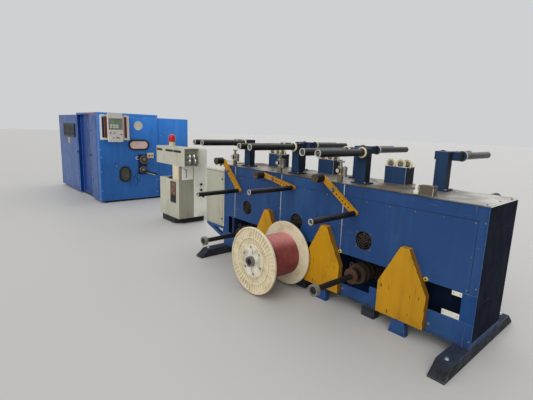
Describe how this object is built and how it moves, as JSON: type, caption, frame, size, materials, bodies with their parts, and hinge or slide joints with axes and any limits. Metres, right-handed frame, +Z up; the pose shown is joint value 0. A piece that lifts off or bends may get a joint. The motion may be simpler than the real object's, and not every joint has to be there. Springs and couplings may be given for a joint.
{
  "type": "wire bunching line",
  "caption": "Closed wire bunching machine with a cantilever reel pay-off bank, control console and spark tester, all standing on one floor.",
  "frame": {"origin": "on the floor, under the middle of the whole line", "axes": "+X runs from the bunching machine to the free end of the pay-off bank, the working side faces -Y, +Z up"},
  "size_m": [10.036, 2.3126, 1.82],
  "materials": {
    "air_regulators": "satin",
    "bank_base": "worn enamel",
    "bay_dividers": "worn enamel",
    "beacon": "clear",
    "buncher_canopy": "gloss enamel",
    "buncher_housing": "gloss enamel",
    "buncher_side_bay": "gloss enamel",
    "buncher_skirt": "dull",
    "console_brackets": "worn enamel",
    "console_housing": "satin",
    "console_knobs": "satin",
    "dancer_arm_1": "worn enamel",
    "dancer_arm_2": "worn enamel",
    "dancer_arm_3": "worn enamel",
    "dancer_pivots": "worn enamel",
    "dancer_roller_1": "satin",
    "dancer_roller_2": "satin",
    "dancer_roller_3": "satin",
    "end_frames": "worn enamel",
    "fan_grilles": "satin",
    "front_panels": "worn enamel",
    "guard_feet": "worn enamel",
    "guide_roller_left_1": "satin",
    "guide_roller_left_2": "satin",
    "guide_roller_left_3": "satin",
    "guide_roller_right_1": "satin",
    "guide_roller_right_2": "satin",
    "guide_roller_right_3": "satin",
    "intake_bracket": "worn enamel",
    "intake_wheel_lower": "worn",
    "intake_wheel_upper": "worn",
    "junction_box": "satin",
    "operator_box": "satin",
    "rear_dancers": "worn enamel",
    "rear_panels": "worn enamel",
    "rear_rollers": "satin",
    "rear_spindles": "oily",
    "reel_barrel": "moulded",
    "reel_flanges": "moulded",
    "reel_guards": "chipped enamel",
    "reel_latch": "oily",
    "reel_winding": "wound wire",
    "roller_posts": "worn enamel",
    "side_louvre": "satin",
    "spindle_1": "oily",
    "spindle_2": "oily",
    "spindle_3": "oily",
    "spindle_drums": "oily",
    "spine_wall": "dull enamel",
    "switch_plate": "satin",
    "tall_cabinet": "satin",
    "tension_boxes": "worn enamel",
    "tester_body": "satin",
    "tester_head": "satin",
    "tester_plinth": "dull",
    "tester_tray": "satin",
    "top_plate": "scuffed",
    "window_frames": "satin",
    "window_panes": "pale pane"
  },
  "bodies": {
    "line": {"air_regulators": "air_regulators", "bank_base": "bank_base", "bay_dividers": "bay_dividers", "beacon": "beacon", "buncher_canopy": "buncher_canopy", "buncher_housing": "buncher_housing", "buncher_side_bay": "buncher_side_bay", "buncher_skirt": "buncher_skirt", "console_brackets": "console_brackets", "console_housing": "console_housing", "console_knobs": "console_knobs", "dancer_pivots": "dancer_pivots", "end_frames": "end_frames", "fan_grilles": "fan_grilles", "front_panels": "front_panels", "guard_feet": "guard_feet", "intake_bracket": "intake_bracket", "junction_box": "junction_box", "operator_box": "operator_box", "rear_dancers": "rear_dancers", "rear_panels": "rear_panels", "rear_rollers": "rear_rollers", "rear_spindles": "rear_spindles", "reel_guards": "reel_guards", "roller_posts": "roller_posts", "side_louvre": "side_louvre", "spindle_drums": "spindle_drums", "spine_wall": "spine_wall", "switch_plate": "switch_plate", "tall_cabinet": "tall_cabinet", "tension_boxes": "tension_boxes", "tester_body": "tester_body", "tester_head": "tester_head", "tester_plinth": "tester_plinth", "tester_tray": "tester_tray", "top_plate": "top_plate", "window_frames": "window_frames", "window_panes": "window_panes"},
    "spindle_1": {"spindle_1": "spindle_1"},
    "dancer_1": {"dancer_arm_1": "dancer_arm_1"},
    "dancer_roller_1": {"dancer_roller_1": "dancer_roller_1"},
    "guide_roller_left_1": {"guide_roller_left_1": "guide_roller_left_1"},
    "guide_roller_right_1": {"guide_roller_right_1": "guide_roller_right_1"},
    "spindle_2": {"spindle_2": "spindle_2", "reel_flanges": "reel_flanges", "reel_barrel": "reel_barrel", "reel_winding": "reel_winding", "reel_latch": "reel_latch"},
    "dancer_2": {"dancer_arm_2": "dancer_arm_2"},
    "dancer_roller_2": {"dancer_roller_2": "dancer_roller_2"},
    "guide_roller_left_2": {"guide_roller_left_2": "guide_roller_left_2"},
    "guide_roller_right_2": {"guide_roller_right_2": "guide_roller_right_2"},
    "spindle_3": {"spindle_3": "spindle_3"},
    "dancer_3": {"dancer_arm_3": "dancer_arm_3"},
    "dancer_roller_3": {"dancer_roller_3": "dancer_roller_3"},
    "guide_roller_left_3": {"guide_roller_left_3": "guide_roller_left_3"},
    "guide_roller_right_3": {"guide_roller_right_3": "guide_roller_right_3"},
    "intake_wheel_upper": {"intake_wheel_upper": "intake_wheel_upper"},
    "intake_wheel_lower": {"intake_wheel_lower": "intake_wheel_lower"}
  },
  "joints": [
    {"name": "spindle_1_turn", "type": "hinge", "parent": "line", "child": "spindle_1", "pos_m": [4.012, -0.6537, 0.35], "axis": [0, 1, 0], "continuous": true},
    {"name": "dancer_1_swing", "type": "hinge", "parent": "line", "child": "dancer_1", "pos_m": [3.732, -0.5837, 1.08], "axis": [0, 1, 0], "range_deg": [-50, 15]},
    {"name": "dancer_roller_1_turn", "type": "hinge", "parent": "dancer_1", "child": "dancer_roller_1", "pos_m": [3.97611, -0.8537, 0.90907], "axis": [0, 1, 0], "continuous": true},
    {"name": "guide_roller_left_1_turn", "type": "hinge", "parent": "line", "child": "guide_roller_left_1", "pos_m": [3.82, -0.8537, 1.435], "axis": [0, 1, 0], "continuous": true},
    {"name": "guide_roller_right_1_turn", "type": "hinge", "parent": "line", "child": "guide_roller_right_1", "pos_m": [3.98, -0.8537, 1.435], "axis": [0, 1, 0], "continuous": true},
    {"name": "spindle_2_turn", "type": "hinge", "parent": "line", "child": "spindle_2", "pos_m": [3.196, -0.6537, 0.35], "axis": [0, 1, 0], "continuous": true},
    {"name": "dancer_2_swing", "type": "hinge", "parent": "line", "child": "dancer_2", "pos_m": [2.916, -0.5837, 1.08], "axis": [0, 1, 0], "range_deg": [-25, 40]},
    {"name": "dancer_roller_2_turn", "type": "hinge", "parent": "dancer_2", "child": "dancer_roller_2", "pos_m": [3.20947, -0.8537, 1.02825], "axis": [0, 1, 0], "continuous": true},
    {"name": "guide_roller_left_2_turn", "type": "hinge", "parent": "line", "child": "guide_roller_left_2", "pos_m": [3.004, -0.8537, 1.435], "axis": [0, 1, 0], "continuous": true},
    {"name": "guide_roller_right_2_turn", "type": "hinge", "parent": "line", "child": "guide_roller_right_2", "pos_m": [3.164, -0.8537, 1.435], "axis": [0, 1, 0], "continuous": true},
    {"name": "spindle_3_turn", "type": "hinge", "parent": "line", "child": "spindle_3", "pos_m": [2.38, -0.6537, 0.35], "axis": [0, 1, 0], "continuous": true},
    {"name": "dancer_3_swing", "type": "hinge", "parent": "line", "child": "dancer_3", "pos_m": [2.1, -0.5837, 1.08], "axis": [0, 1, 0], "range_deg": [-60, 5]},
    {"name": "dancer_roller_3_turn", "type": "hinge", "parent": "dancer_3", "child": "dancer_roller_3", "pos_m": [2.31072, -0.8537, 0.86928], "axis": [0, 1, 0], "continuous": true},
    {"name": "guide_roller_left_3_turn", "type": "hinge", "parent": "line", "child": "guide_roller_left_3", "pos_m": [2.188, -0.8537, 1.435], "axis": [0, 1, 0], "continuous": true},
    {"name": "guide_roller_right_3_turn", "type": "hinge", "parent": "line", "child": "guide_roller_right_3", "pos_m": [2.348, -0.8537, 1.435], "axis": [0, 1, 0], "continuous": true},
    {"name": "intake_wheel_upper_turn", "type": "hinge", "parent": "line", "child": "intake_wheel_upper", "pos_m": [-1.878, 0.0463, 0.88], "axis": [1, 0, 0], "continuous": true},
    {"name": "intake_wheel_lower_turn", "type": "hinge", "parent": "line", "child": "intake_wheel_lower", "pos_m": [-1.878, 0.0263, 0.665], "axis": [1, 0, 0], "continuous": true}
  ]
}
